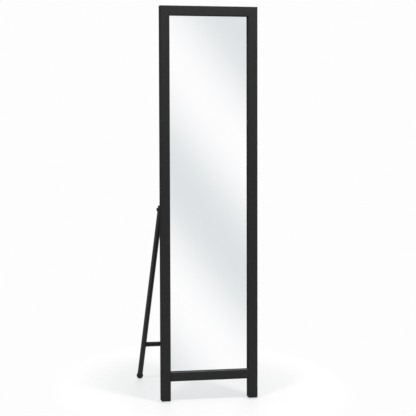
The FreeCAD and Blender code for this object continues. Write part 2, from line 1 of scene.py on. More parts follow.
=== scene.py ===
import bmesh
import bpy
import numpy as np
from mathutils import Matrix, Vector


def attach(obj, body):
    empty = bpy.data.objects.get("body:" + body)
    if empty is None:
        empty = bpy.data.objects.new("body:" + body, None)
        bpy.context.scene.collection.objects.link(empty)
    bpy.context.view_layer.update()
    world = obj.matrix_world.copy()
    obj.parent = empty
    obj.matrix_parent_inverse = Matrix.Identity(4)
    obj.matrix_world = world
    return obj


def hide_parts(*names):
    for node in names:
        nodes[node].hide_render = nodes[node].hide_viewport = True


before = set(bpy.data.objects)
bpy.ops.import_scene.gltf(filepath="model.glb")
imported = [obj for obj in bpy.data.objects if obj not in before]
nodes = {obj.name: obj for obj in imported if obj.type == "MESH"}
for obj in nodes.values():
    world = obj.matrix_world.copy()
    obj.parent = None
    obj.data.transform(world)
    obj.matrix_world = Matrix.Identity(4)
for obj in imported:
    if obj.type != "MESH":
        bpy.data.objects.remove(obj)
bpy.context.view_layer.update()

# The posts: two lengths of cold-formed 38 mm square steel tube that lean back together. They are mitred to
# the top rail, run on below the bottom rail as the front legs, and are powder coated with the welded frame.
METRE = 1000
FRAME_WIDTH, FRAME_HEIGHT = 400, 1600
TUBE, WALL, CORNER = 38, 1.5, 3
POST_MIDDLE = FRAME_WIDTH / 2 - TUBE / 2
OPENING_HALF = FRAME_WIDTH / 2 - TUBE
OPENING_TOP = FRAME_HEIGHT - TUBE
LEAN = np.radians(9)
CAP_INSET, CAP_HEEL, CAP_HEIGHT = 0.5, 6, 4
CAP_SOLE = (TUBE - CAP_INSET - CAP_HEEL) * np.tan(LEAN)
TUBE_FOOT = CAP_SOLE + CAP_HEIGHT
FRONT_LINE = -161.095
SIDES = (("left", -1), ("right", 1))
SEAM, CREASE = 1e-6, np.radians(35)


def leaned(x, y, z):
    """Millimetres in the frame's own axes to metres in the scene. x runs from the middle, y back from the
    front face and z up the posts: y and z are turned by the lean about the front face's line on the floor."""
    x, y, z = np.broadcast_arrays(x, y, z)
    back = y * np.cos(LEAN) + z * np.sin(LEAN) + FRONT_LINE
    up = z * np.cos(LEAN) - y * np.sin(LEAN)
    return np.stack((x, back, up), -1) / METRE


def rounded_outline(width, depth, corner, steps=10):
    """A closed rounded rectangle about its middle: each quarter turn runs round its corner's own centre at
    the corner radius, and straight sides join one quarter to the next."""
    turn = np.linspace(0, np.pi / 2, steps + 1) + np.arange(4)[:, None] * np.pi / 2
    middle = turn.mean(1, keepdims=True)
    across = np.sign(np.cos(middle)) * (width / 2 - corner) + corner * np.cos(turn)
    up = np.sign(np.sin(middle)) * (depth / 2 - corner) + corner * np.sin(turn)
    return np.array((np.append(across, across[0, 0]), np.append(up, up[0, 0])))


def hollow_bar(outer, inner, start, end):
    """A tube along its own w axis: up the outer outline, across the cut end, back down the inner outline and
    across the other end. start and end give w at each point (u, v) of an outline, so a cut may slope."""
    rows = ((outer, start), (outer, end), (inner, end), (inner, start), (outer, start))
    u, v = np.array([outline for outline, _ in rows]).swapaxes(0, 1)
    w = np.array([np.broadcast_to(cut(*outline), outline[0].shape) for outline, cut in rows])
    return u, v, w


def grid_faces(rows, columns, first=0):
    """The four-sided faces between neighbouring points of a grid, whose points are numbered row by row."""
    index = np.arange(first, first + rows * columns).reshape(rows, columns)
    corners = (index[:-1, :-1], index[:-1, 1:], index[1:, 1:], index[1:, :-1])
    return np.stack(corners, -1).reshape(-1, 4)


def new_piece(name, grids, finishes, body, stands_for):
    """A mesh of the faces of each grid, with one finish for each grid in turn. Points that coincide, at seams
    and poles and where grids meet, become one; faces turn outwards."""
    points, faces, finish_of_face = [], [], []
    count = 0
    for number, grid in enumerate(grids):
        rows, columns = grid.shape[:2]
        quads = grid_faces(rows, columns, count)
        points.append(grid.reshape(-1, 3))
        faces.append(quads)
        finish_of_face.append(np.full(len(quads), min(number, len(finishes) - 1)))
        count += rows * columns
    mesh = bpy.data.meshes.new(name)
    mesh.from_pydata(np.concatenate(points).tolist(), [], np.concatenate(faces).tolist())
    for finish in finishes:
        mesh.materials.append(finish)
    mesh.polygons.foreach_set("material_index", np.concatenate(finish_of_face))
    joined = bmesh.new()
    joined.from_mesh(mesh)
    bmesh.ops.remove_doubles(joined, verts=joined.verts, dist=SEAM)
    bmesh.ops.recalc_face_normals(joined, faces=joined.faces)
    joined.to_mesh(mesh)
    joined.free()
    mesh.polygons.foreach_set("use_smooth", np.ones(len(mesh.polygons), bool))
    mesh.set_sharp_from_angle(angle=CREASE)
    piece = bpy.data.objects.new(name, mesh)
    bpy.context.scene.collection.objects.link(piece)
    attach(piece, body)
    if stands_for:
        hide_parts(*stands_for)


def linear(colour):
    """An sRGB hex colour as the linear colour that shaders mix: each share over 0.04045 is
    ((share + 0.055) / 1.055) to the power 2.4, and a smaller one is divided by 12.92."""
    share = np.array([int(colour[start:start + 2], 16) for start in (1, 3, 5)]) / 255
    return (*np.where(share > 0.04045, ((share + 0.055) / 1.055) ** 2.4, share / 12.92), 1)


def connect(tree, node, inputs):
    """Each input of a node, by its name or number: linked from a socket, or set to a value."""
    for key, value in inputs.items():
        if isinstance(value, bpy.types.NodeSocket):
            tree.links.new(value, node.inputs[key])
        else:
            node.inputs[key].default_value = value


def add(tree, kind, inputs, **settings):
    """One new node with its settings and its inputs."""
    node = tree.nodes.new(kind)
    for name, value in settings.items():
        setattr(node, name, value)
    connect(tree, node, inputs)
    return node


def new_finish(name):
    """A new material: itself, its nodes, its shader and the coordinates in metres that its patterns read."""
    material = bpy.data.materials.new(name)
    material.use_nodes = True
    tree = material.node_tree
    place = add(tree, "ShaderNodeTexCoord", {}).outputs["Object"]
    return material, tree, tree.nodes["Principled BSDF"], place


# Black polyester powder coat, sprayed on dry and baked: a dull near-black whose flowed grains break up the
# highlights. The grains are about 0.4 mm and are drawn at 1.6 mm so that they show; the tone drifts softly.
GRAIN, DRIFT = 1.6, 60
# A Mix node has three sockets of each name, so its colour ones are numbered: the share, the two and the mix.
SHARE, FIRST, SECOND, MIXED = 0, 6, 7, 2
# Most of a noise pattern lies between these two values.
NOISE_LOW, NOISE_HIGH = 0.3, 0.7


def powder(name, dark, mean, pale, sheen, smooth, dull):
    """A powder coat from its darkest, mean and palest colours, its sheen, and its least and greatest
    roughness: the grains mix the outer two colours, and the drift takes that to the mean and dulls it."""
    coat, tree, shader, place = new_finish(name)
    grain = add(
        tree, "ShaderNodeTexNoise",
        {"Vector": place, "Scale": METRE / GRAIN, "Detail": 2, "Roughness": 0.6},
    ).outputs[0]
    drift = add(tree, "ShaderNodeTexNoise", {"Vector": place, "Scale": METRE / DRIFT, "Detail": 4}).outputs[0]
    speck = add(
        tree, "ShaderNodeMix", {SHARE: grain, FIRST: linear(dark), SECOND: linear(pale)}, data_type="RGBA",
    )
    tone = add(
        tree, "ShaderNodeMix",
        {SHARE: drift, FIRST: speck.outputs[MIXED], SECOND: linear(mean)}, data_type="RGBA",
    )
    gloss = add(tree, "ShaderNodeMapRange", {
        "Value": drift, "From Min": NOISE_LOW, "From Max": NOISE_HIGH, "To Min": smooth, "To Max": dull,
    })
    relief = add(tree, "ShaderNodeBump", {"Height": grain, "Strength": 0.5, "Distance": 0.1 / METRE})
    connect(tree, shader, {
        "Base Color": tone.outputs[MIXED], "Roughness": gloss.outputs[0], "Normal": relief.outputs[0],
        "Specular IOR Level": sheen,
    })
    return coat


FRAME_COAT = ("#262627", "#2d2d2d", "#333334", 0.01, 0.8, 0.95)
powder_coat = powder("Black powder coat", *FRAME_COAT)

tube_outside = rounded_outline(TUBE, TUBE, CORNER)
tube_inside = rounded_outline(TUBE - 2 * WALL, TUBE - 2 * WALL, CORNER - WALL)
for word, side in SIDES:
    u, v, w = hollow_bar(
        tube_outside, tube_inside,
        lambda u, v: TUBE_FOOT,
        lambda u, v: OPENING_TOP + TUBE / 2 + side * u,
    )
    post = leaned(side * POST_MIDDLE + u, TUBE / 2 + v, w)
    new_piece(word + "_post_tube", [post], [powder_coat], "frame", [word + "_post"])

# The top rail: the same tube laid across, its ends cut at 45 degrees to meet the posts. The corners are
# welded from inside the mitre and ground, so the coat runs over them without a line.
v, w, u = hollow_bar(
    tube_outside, tube_inside,
    lambda v, w: -OPENING_HALF - TUBE / 2 - w,
    lambda v, w: OPENING_HALF + TUBE / 2 + w,
)
top_rail = leaned(u, TUBE / 2 + v, OPENING_TOP + TUBE / 2 + w)
new_piece("top_rail_tube", [top_rail], [powder_coat], "frame", ["top_rail"])

# The bottom rail: a slightly lower tube cut square and butted between the posts, so the posts' rounded edges
# leave a fine groove at each end. Its welds stay as beads at the back and underneath, coated with the rest.
RAIL_UNDER, RAIL_HEIGHT = 85.5, 36.5
RAIL_TOP = RAIL_UNDER + RAIL_HEIGHT
UNDER_BEAD, BACK_BEAD, RIPPLE, SWELL, TAPER = 1.7, 2.2, 2.4, 0.1, 12
BEAD_SINK, BEAD_MARGIN = 1.2, 2

# The same coat, but the rail's top, the mirror's sill, is painted paler as a highlight, standing in for the
# grazing reflection of the bright glass and surround. It lies on what faces up, and fades out round the
# rail's edges.
SILL_PAINTED_HIGHLIGHT, HIGHLIGHT_START, HIGHLIGHT_FULL = "#595a5a", 0.8, 0.97
coat_with_painted_sill_highlight = powder("Black powder coat with a painted sill highlight", *FRAME_COAT)
tree = coat_with_painted_sill_highlight.node_tree
shader = tree.nodes["Principled BSDF"]
bare = shader.inputs["Base Color"].links[0].from_socket
facing = add(tree, "ShaderNodeSeparateXYZ", {0: add(tree, "ShaderNodeNewGeometry", {}).outputs["Normal"]})
# The painted highlight: the coat's colour turns to a pale grey where the surface's normal points up.
painted_highlight = add(tree, "ShaderNodeMapRange", {
    "Value": facing.outputs["Z"], "From Min": HIGHLIGHT_START, "From Max": HIGHLIGHT_FULL,
})
tone = add(
    tree, "ShaderNodeMix",
    {SHARE: painted_highlight.outputs[0], FIRST: bare, SECOND: linear(SILL_PAINTED_HIGHLIGHT)}, data_type="RGBA",
)
connect(tree, shader, {"Base Color": tone.outputs[MIXED]})

rail_outside = rounded_outline(TUBE, RAIL_HEIGHT, CORNER)
rail_inside = rounded_outline(TUBE - 2 * WALL, RAIL_HEIGHT - 2 * WALL, CORNER - WALL)
v, w, u = hollow_bar(rail_outside, rail_inside, lambda v, w: -OPENING_HALF, lambda v, w: OPENING_HALF)
bottom_rail = leaned(u, TUBE / 2 + v, RAIL_UNDER + RAIL_HEIGHT / 2 + w)
new_piece("bottom_rail_tube", [bottom_rail], [coat_with_painted_sill_highlight], "frame", ["bottom_rail"])


def weld_bead(seam, first, second, radius, ripple, closed=False):
    """A bead along a seam of points: a circle in the plane of two directions, carried along the seam. Its
    radius swells and shrinks by the swell's share once in each ripple. An open bead runs out to nothing at
    its ends, as the root of one less a high power of the distance from its middle."""
    along = np.linspace(0, 1, len(seam))
    length = np.linalg.norm(np.diff(seam, axis=0), axis=1).sum()
    swell = 1 + SWELL * np.cos(2 * np.pi * np.round(length / ripple) * along)
    taper = 1 if closed else np.sqrt(np.clip(1 - np.abs(2 * along - 1) ** TAPER, 0, 1))
    turn = np.linspace(0, 2 * np.pi, 17)
    ring = np.cos(turn)[:, None] * first[..., None, :] + np.sin(turn)[:, None] * second[..., None, :]
    return seam[:, None] + (radius * swell * taper)[:, None, None] * ring


def straight_bead(start, end, second, radius):
    """A bead of the frame along a straight seam, round in the plane of the x axis and a second direction."""
    bead = weld_bead(np.linspace(start, end, 97), axis_x, second, radius, RIPPLE)
    return leaned(*np.moveaxis(bead, -1, 0))


axis_x, axis_y, axis_z = np.eye(3)
beads = []
for _, side in SIDES:
    x, y = side * OPENING_HALF, TUBE - BEAD_SINK
    behind = (x, y, RAIL_UNDER + BEAD_MARGIN), (x, y, RAIL_TOP - BEAD_MARGIN)
    under = (x, CORNER, RAIL_UNDER), (x, TUBE - CORNER, RAIL_UNDER)
    beads.append(straight_bead(*behind, axis_y, BACK_BEAD))
    beads.append(straight_bead(*under, axis_z, UNDER_BEAD))
new_piece("bottom_rail_welds", beads, [powder_coat], "frame", [])

# The foot caps: moulded black polypropylene plugs pressed into the tube ends. The square head has a rounded
# edge, and the leaning post stands on the rear of it, on a narrow heel that is level with the floor.
CAP_ROUND, CAP_STEM, CAP_GAP = 2, 16, 0.1

# Moulded polypropylene from a spark-eroded mould: dull black with a pebbled skin. The pebbles are about
# 0.2 mm and are drawn at 0.9 mm so that they show; faint clouds are some 14 mm across.
PEBBLE, PLASTIC_CLOUD = 0.9, 14
black_plastic, tree, shader, place = new_finish("Moulded black polypropylene")
pebble = add(
    tree, "ShaderNodeTexVoronoi", {"Vector": place, "Scale": METRE / PEBBLE}, feature="SMOOTH_F1",
).outputs[0]
cloud = add(tree, "ShaderNodeTexNoise", {"Vector": place, "Scale": METRE / PLASTIC_CLOUD, "Detail": 3})
tone = add(
    tree, "ShaderNodeMix",
    {SHARE: cloud.outputs[0], FIRST: linear("#0d0d0e"), SECOND: linear("#151516")}, data_type="RGBA",
)
gloss = add(tree, "ShaderNodeMapRange", {"Value": pebble, "To Min": 0.6, "To Max": 0.75})
relief = add(tree, "ShaderNodeBump", {"Height": pebble, "Strength": 0.4, "Distance": 0.1 / METRE})
connect(tree, shader, {
    "Base Color": tone.outputs[MIXED], "Roughness": gloss.outputs[0], "Normal": relief.outputs[0],
    "Specular IOR Level": 0.08,
})


def foot_cap():
    """Rounded outlines from a point on the heel's front edge out over the sole, round its edge on a quarter
    circle, up the head, in over its top, up the plug and in to its middle. Each has one more point on each
    side, where the floor's slant cuts its height, and whatever lies below the floor is raised to it."""
    edge = np.linspace(0, np.pi / 2, 9)
    inset = np.append(CAP_ROUND * (1 - np.sin(edge)), 0)
    plug = TUBE - 2 * WALL - 2 * CAP_GAP
    widths = np.append(TUBE - 2 * CAP_INSET - 2 * inset, (plug, plug))
    corners = np.append(CORNER - CAP_INSET - inset, (CORNER - WALL, CORNER - WALL))
    head_heights = CAP_SOLE + CAP_ROUND * (1 - np.cos(edge))
    heights = np.append(head_heights, (TUBE_FOOT, TUBE_FOOT, TUBE_FOOT + CAP_STEM))
    cuts = heights / np.tan(LEAN) - TUBE / 2
    rows = []
    for width, corner, height, cut in zip(widths, corners, heights, cuts):
        u, v = rounded_outline(width, width, corner)
        sides = len(u) // 2, len(u) - 1
        u = np.insert(u, sides, (-width / 2, width / 2))
        v = np.insert(v, sides, np.clip(cut, corner - width / 2, width / 2 - corner))
        rows.append((u, v, np.full_like(u, height)))
    heel = np.zeros_like(u), np.full_like(u, cuts[0]), np.full_like(u, CAP_SOLE)
    top = np.zeros_like(u), np.zeros_like(u), np.full_like(u, heights[-1])
    u, v, w = np.array((heel, *rows, top)).swapaxes(0, 1)
    return u, v, np.maximum(w, (TUBE / 2 + v) * np.tan(LEAN))


u, v, w = foot_cap()
for word, side in SIDES:
    cap = leaned(side * POST_MIDDLE + u, TUBE / 2 + v, w)
    new_piece(word + "_foot_moulding", [cap], [black_plastic], "frame", [word + "_foot_cap"])

# The mirror: 4 mm float glass, silvered and painted on the back, with a narrow ground edge all round. It sits
# half way back in the frame, on two setting blocks, and is held by tape to the back panel.
GLASS_FRONT, GLASS_THICK, GLASS_EDGE, EDGE_GAP, BLOCK = 19.5, 4, 0.6, 1, 2
GLASS_WIDTH = 2 * (OPENING_HALF - EDGE_GAP)
GLASS_FOOT = RAIL_TOP + BLOCK
GLASS_HEIGHT = OPENING_TOP - EDGE_GAP - GLASS_FOOT
PANE_CORNER, PANE_STEPS = 0.8, 3

# Silvered float glass: a clear, very slightly cool reflection, with a breath of haze where it was wiped. The
# patches of haze are some 180 mm across and drawn out along the posts.
HAZE, HAZE_STRETCH = 180, (1, 1, 0.35)
silvered_glass, tree, shader, place = new_finish("Silvered float glass")
wiped = add(tree, "ShaderNodeMapping", {"Vector": place, "Scale": HAZE_STRETCH}).outputs[0]
haze = add(tree, "ShaderNodeTexNoise", {"Vector": wiped, "Scale": METRE / HAZE, "Detail": 5}).outputs[0]
silver = add(
    tree, "ShaderNodeMix",
    {SHARE: haze, FIRST: linear("#fdfefe"), SECOND: linear("#feffff")}, data_type="RGBA",
)
gloss = add(tree, "ShaderNodeMapRange", {
    "Value": haze, "From Min": 0.35, "From Max": 0.75, "To Min": 0, "To Max": 0.025,
})
connect(tree, shader, {
    "Base Color": silver.outputs[MIXED], "Roughness": gloss.outputs[0], "Metallic": 1,
})

# The ground edge: frosted grey-green glass with fine wheel marks along it, about 0.5 mm apart.
WHEEL_MARK = 0.5
ground_edge, tree, shader, place = new_finish("Ground glass edge")
wheel = add(
    tree, "ShaderNodeTexNoise", {"Vector": place, "Scale": METRE / WHEEL_MARK, "Detail": 2},
).outputs[0]
tone = add(
    tree, "ShaderNodeMix",
    {SHARE: wheel, FIRST: linear("#5d7a70"), SECOND: linear("#93aaa1")}, data_type="RGBA",
)
relief = add(tree, "ShaderNodeBump", {"Height": wheel, "Strength": 0.3, "Distance": 0.05 / METRE})
connect(tree, shader, {"Base Color": tone.outputs[MIXED], "Normal": relief.outputs[0], "Roughness": 0.4})

# The backing paint over the silver: flat blue-grey, rolled on, with a faint orange peel about 3 mm across.
PEEL = 3
backing_paint, tree, shader, place = new_finish("Grey mirror backing paint")
peel = add(tree, "ShaderNodeTexNoise", {"Vector": place, "Scale": METRE / PEEL, "Detail": 3}).outputs[0]
tone = add(
    tree, "ShaderNodeMix",
    {SHARE: peel, FIRST: linear("#5b6468"), SECOND: linear("#6c767a")}, data_type="RGBA",
)
relief = add(tree, "ShaderNodeBump", {"Height": peel, "Strength": 0.3, "Distance": 0.1 / METRE})
connect(tree, shader, {"Base Color": tone.outputs[MIXED], "Normal": relief.outputs[0], "Roughness": 0.6})


def pane_rows(insets, depths):
    """Rectangles set in from the pane's outline at given depths. An inset of the whole width is the pane's
    middle, where the outline shrinks to a point."""
    rows = [
        rounded_outline(GLASS_WIDTH - 2 * inset, GLASS_HEIGHT - 2 * inset, PANE_CORNER, PANE_STEPS)
        * (inset < GLASS_WIDTH)
        for inset in insets
    ]
    u, w = np.array(rows).swapaxes(0, 1)
    return leaned(u, GLASS_FRONT + np.array(depths)[:, None], GLASS_FOOT + GLASS_HEIGHT / 2 + w)


pane = [
    pane_rows((GLASS_WIDTH, GLASS_EDGE), (0, 0)),
    pane_rows((GLASS_EDGE, 0, 0, GLASS_EDGE), (0, GLASS_EDGE, GLASS_THICK - GLASS_EDGE, GLASS_THICK)),
    pane_rows((GLASS_EDGE, GLASS_WIDTH), (GLASS_THICK, GLASS_THICK)),
]
pane_finishes = [silvered_glass, ground_edge, backing_paint]
new_piece("mirror_pane", pane, pane_finishes, "frame", ["mirror_glass"])

# The setting blocks and the tape: two cut slips of rubber under the glass, and three strips of white foam
# tape that hold it to the back panel. They are plain cut shapes, so the solids serve as they are.
TAPE = 1

# Moulded rubber: a soft, deep black with no clear highlight and a chalky bloom in patches some 6 mm across.
# Its skin's fine grain is drawn at 0.7 mm so that it shows.
BLOOM, RUBBER_SKIN = 6, 0.7
rubber, tree, shader, place = new_finish("Black moulded rubber")
bloom = add(
    tree, "ShaderNodeTexNoise",
    {"Vector": place, "Scale": METRE / BLOOM, "Detail": 5, "Roughness": 0.65},
).outputs[0]
skin = add(tree, "ShaderNodeTexNoise", {"Vector": place, "Scale": METRE / RUBBER_SKIN, "Detail": 2})
tone = add(
    tree, "ShaderNodeMix",
    {SHARE: bloom, FIRST: linear("#0f0f0f"), SECOND: linear("#1e1e1e")}, data_type="RGBA",
)
gloss = add(tree, "ShaderNodeMapRange", {
    "Value": bloom, "From Min": NOISE_LOW, "From Max": NOISE_HIGH, "To Min": 0.62, "To Max": 0.8,
})
relief = add(tree, "ShaderNodeBump", {"Height": skin.outputs[0], "Strength": 0.35, "Distance": 0.1 / METRE})
connect(tree, shader, {
    "Base Color": tone.outputs[MIXED], "Roughness": gloss.outputs[0], "Normal": relief.outputs[0],
    "Specular IOR Level": 0.25,
})
nodes["setting_blocks"].material_slots[0].material = rubber

# Closed-cell foam: off-white, quite without gloss, pitted by cut cells about 0.8 mm across.
FOAM_CELL = 0.8
foam, tree, shader, place = new_finish("White foam tape")
cell = add(tree, "ShaderNodeTexVoronoi", {"Vector": place, "Scale": METRE / FOAM_CELL}).outputs[0]
tone = add(
    tree, "ShaderNodeMix",
    {SHARE: cell, FIRST: linear("#d2d1cb"), SECOND: linear("#efeeea")}, data_type="RGBA",
)
relief = add(tree, "ShaderNodeBump", {"Height": cell, "Strength": 0.6, "Distance": 0.2 / METRE})
connect(tree, shader, {"Base Color": tone.outputs[MIXED], "Normal": relief.outputs[0], "Roughness": 0.95})
nodes["mirror_tape"].material_slots[0].material = foam

# The back panel: a sheet of 6 mm fibreboard sawn to size, taped to the glass in front and screwed to the
# lugs behind. It closes the back of the frame.
PANEL = 6
PANEL_BACK = GLASS_FRONT + GLASS_THICK + TAPE + PANEL

# Medium-density fibreboard: sanded tan-brown felt of short wood fibres about 1.1 mm apart, in broad clouds,
# with darker flecks some 5 mm apart, and a duller, fuzzier look than planed wood.
FIBRE, BOARD_CLOUD, FLECK = 1.1, 90, 5
fibreboard, tree, shader, place = new_finish("Sanded fibreboard")
felt = add(
    tree, "ShaderNodeTexNoise",
    {"Vector": place, "Scale": METRE / FIBRE, "Detail": 5, "Roughness": 0.7, "Distortion": 1.2},
).outputs[0]
cloud = add(tree, "ShaderNodeTexNoise", {"Vector": place, "Scale": METRE / BOARD_CLOUD, "Detail": 3})
fleck = add(tree, "ShaderNodeTexVoronoi", {"Vector": place, "Scale": METRE / FLECK, "Randomness": 1})
spot = add(tree, "ShaderNodeMapRange", {
    "Value": fleck.outputs[0], "From Min": 0.03, "From Max": 0.2, "To Min": 1, "To Max": 0,
})
board = add(
    tree, "ShaderNodeMix",
    {SHARE: cloud.outputs[0], FIRST: linear("#a5845e"), SECOND: linear("#b9976e")}, data_type="RGBA",
)
fibre = add(
    tree, "ShaderNodeMix",
    {SHARE: felt, FIRST: linear("#7d5f40"), SECOND: board.outputs[MIXED]}, data_type="RGBA",
)
tone = add(
    tree, "ShaderNodeMix",
    {SHARE: spot.outputs[0], FIRST: fibre.outputs[MIXED], SECOND: linear("#80623f")}, data_type="RGBA",
)
relief = add(tree, "ShaderNodeBump", {"Height": felt, "Strength": 0.35, "Distance": 0.2 / METRE})
connect(tree, shader, {"Base Color": tone.outputs[MIXED], "Normal": relief.outputs[0], "Roughness": 0.85})
nodes["back_panel"].material_slots[0].material = fibreboard

# The panel lugs: eight small plates of 2 mm strip welded inside the posts before coating, each with a hole
# for a screw. The plates are the solids as they are; a short bead joins each one to its post.
LUG_LENGTH, LUG_HEIGHT, LUG_THICK, LUG_MARGIN, LUG_COUNT = 20, 24, 2, 110, 4
LUG_BEAD, LUG_BEAD_MARGIN = 1.5, 1
LUG_BACK = PANEL_BACK + LUG_THICK
lug_heights = np.linspace(RAIL_TOP + LUG_MARGIN, OPENING_TOP - LUG_MARGIN, LUG_COUNT)
nodes["panel_lugs"].material_slots[0].material = powder_coat

beads = []
for _, side in SIDES:
    for height in lug_heights:
        root = np.array((side * OPENING_HALF, LUG_BACK, height))
        half = (LUG_HEIGHT / 2 - LUG_BEAD_MARGIN) * axis_z
        beads.append(straight_bead(root - half, root + half, axis_y, LUG_BEAD))
new_piece("panel_lug_welds", beads, [powder_coat], "frame", [])

# The panel screws: eight pan-head screws with a cross recess, zinc plated, driven through the lugs into the
# back panel. The heads are forged, so they are domed and the recess is crisp.
PANEL_SCREW = dict(head=4, rim=1.2, height=2.4, shank=2, length=7.5)
RECESS_HALF, RECESS_WIDTH, RECESS_DEPTH, RECESS_RISE = 2, 1, 1.2, 0.6
HEAD_BREAK, POINT_LENGTH, POINT_TAPER = 0.15, 0.8, 0.4

# Bright zinc plate: a pale blue-grey metal with a soft, slightly cloudy shine, in clouds 2.5 mm across.
ZINC_CLOUD = 2.5
zinc_plate, tree, shader, place = new_finish("Bright zinc plate")
cloud = add(
    tree, "ShaderNodeTexNoise", {"Vector": place, "Scale": METRE / ZINC_CLOUD, "Detail": 4},
).outputs[0]
tone = add(
    tree, "ShaderNodeMix",
    {SHARE: cloud, FIRST: linear("#b4b8bb"), SECOND: linear("#d6d9da")}, data_type="RGBA",
)
gloss = add(tree, "ShaderNodeMapRange", {
    "Value": cloud, "From Min": NOISE_LOW, "From Max": NOISE_HIGH, "To Min": 0.24, "To Max": 0.42,
})
connect(tree, shader, {"Base Color": tone.outputs[MIXED], "Roughness": gloss.outputs[0], "Metallic": 1})


def cross_head_screw(head, rim, height, shank, length):
    """A screw with its seat at height 0. The top is a square grid pressed into a disc, so that its lines run
    along the cross: a dome that falls as the radius squared, less the recess, which is deepest in the middle.
    The rest follows the disc's rim down the side, in under the head and down the plain shank to its point."""
    arm, half = RECESS_HALF / head, RECESS_WIDTH / 2 / head
    across_arm = half * np.array((0, 0.5, 0.92, 1.08))
    along_arm = arm * np.array((0.5, 0.72, 0.9, 1))
    steps = np.concatenate((across_arm, along_arm, (0.65, 0.8, 0.9, 0.96, 1)))
    line = np.concatenate((-steps[:0:-1], steps))
    u, v = np.meshgrid(line, line, indexing="ij")
    x = head * u * np.sqrt(1 - v ** 2 / 2)
    y = head * v * np.sqrt(1 - u ** 2 / 2)
    far, near = np.maximum(abs(x), abs(y)), np.minimum(abs(x), abs(y))
    inside = (near < RECESS_WIDTH / 2) & (far < RECESS_HALF * 0.97)
    dome = rim + (height - rim) * (1 - (x ** 2 + y ** 2) / head ** 2)
    z = dome - inside * RECESS_DEPTH * (1 - RECESS_RISE * far / RECESS_HALF)
    top = np.stack((x, y, z), -1)
    edge = np.concatenate((top[0, :-1], top[:-1, -1], top[-1, :0:-1], top[::-1, 0]))
    radius = np.array((head, head, head - HEAD_BREAK, shank, shank, shank - POINT_TAPER, 0))[:, None]
    level = np.array((rim, HEAD_BREAK, 0, 0, POINT_LENGTH - length, -length, -length))[:, None]
    out_x, out_y = edge[:, :2].T / head
    below = np.stack((radius * out_x, radius * out_y, np.broadcast_to(level, (len(level), len(edge)))), -1)
    return top, below


def pointing_back(shape, x, y, z):
    """A shape's points, its own z axis turned to the back of the frame and its seat put at x, y and z."""
    return leaned(x + shape[..., 0], y + shape[..., 2], z + shape[..., 1])


screws = [
    pointing_back(shape, side * (OPENING_HALF - LUG_LENGTH / 2), LUG_BACK, height)
    for _, side in SIDES for height in lug_heights for shape in cross_head_screw(**PANEL_SCREW)
]
new_piece("panel_pan_screws", screws, [zinc_plate], "frame", ["panel_screws"])

# The hinge brackets and rivet nuts: each bracket is 2.5 mm steel strip, blanked, bent to an L and coated
# black. Its flange lies on two rivet nuts set in the back of the post. The solids serve as they are.
PIVOT_Y, PIVOT_Z = 52.765, 782
BRACKET, RIVET_HEAD, EAR_INSET = 2.5, 0.5, 18.5
BRACKET_BACK = TUBE + RIVET_HEAD + BRACKET
WASHER_FACE = FRAME_WIDTH / 2 - EAR_INSET - BRACKET
for word, _ in SIDES:
    nodes[word + "_hinge_bracket"].material_slots[0].material = powder_coat
nodes["rivet_nuts"].material_slots[0].material = zinc_plate

# The bracket screws: four M5 machine screws, black oxidised, through the flanges into the rivet nuts. Their
# pan heads and cross recesses are forged as the panel screws' are, a little larger.
BRACKET_SCREW = dict(head=4.75, rim=1.3, height=2.7, shank=2.5, length=12)
BRACKET_SCREW_X, BRACKET_SCREW_PITCH = 170.75, 34

# Black oxide on steel: a thin blue-black conversion layer that keeps a metal's soft shine, a little uneven in
# clouds some 3 mm across.
OXIDE_CLOUD = 3
black_oxide, tree, shader, place = new_finish("Black oxide steel")
cloud = add(
    tree, "ShaderNodeTexNoise", {"Vector": place, "Scale": METRE / OXIDE_CLOUD, "Detail": 4},
).outputs[0]
tone = add(
    tree, "ShaderNodeMix",
    {SHARE: cloud, FIRST: linear("#1d1e20"), SECOND: linear("#35373a")}, data_type="RGBA",
)
gloss = add(tree, "ShaderNodeMapRange", {
    "Value": cloud, "From Min": NOISE_LOW, "From Max": NOISE_HIGH, "To Min": 0.32, "To Max": 0.48,
})
connect(tree, shader, {"Base Color": tone.outputs[MIXED], "Roughness": gloss.outputs[0], "Metallic": 0.85})

screws = [
    pointing_back(shape, side * BRACKET_SCREW_X, BRACKET_BACK, PIVOT_Z + end * BRACKET_SCREW_PITCH / 2)
    for _, side in SIDES for end in (-1, 1) for shape in cross_head_screw(**BRACKET_SCREW)
]
new_piece("bracket_pan_screws", screws, [black_oxide], "frame", ["bracket_screws"])

# The hinge bolts: two M6 bolts with broad, low heads and a hexagon socket, black oxidised, put in from
# outside through leg and ear. The head stands clear of the leg's saddle, so the leg turns under it.
BOLT_SEAT, BOLT_END, BOLT_RADIUS, BOLT_POINT = 206.3, 167.4, 3, 0.6
BOLT_LENGTH = BOLT_SEAT - BOLT_END
BOLT_HEAD, BOLT_RIM, BOLT_HEIGHT, BOLT_BREAK = 7, 1.2, 3, 0.2
KEY_WIDTH, KEY_DEPTH, KEY_BREAK, KEY_LIP = 4, 2, 0.25, 0.6
THREAD_PITCH, THREAD_LENGTH, THREAD_DEPTH, THREAD_RUNOUT = 1, 12, 0.15, 0.4
full_turn = np.linspace(0, 2 * np.pi, 73)


def hexagon(width):
    """The radius of a hexagon of that width across flats at each turn: half the width over the cosine of the
    turn from the nearest flat's middle."""
    return width / 2 / np.cos((full_turn + np.pi / 6) % (np.pi / 3) - np.pi / 6)


def ringed(rows):
    """Rings from pairs of radius and height, where a radius is one number or one for each turn."""
    radius = np.array([np.broadcast_to(r, full_turn.shape) for r, _ in rows])
    height = np.array([np.broadcast_to(h, full_turn.shape) for _, h in rows])
    return radius, height


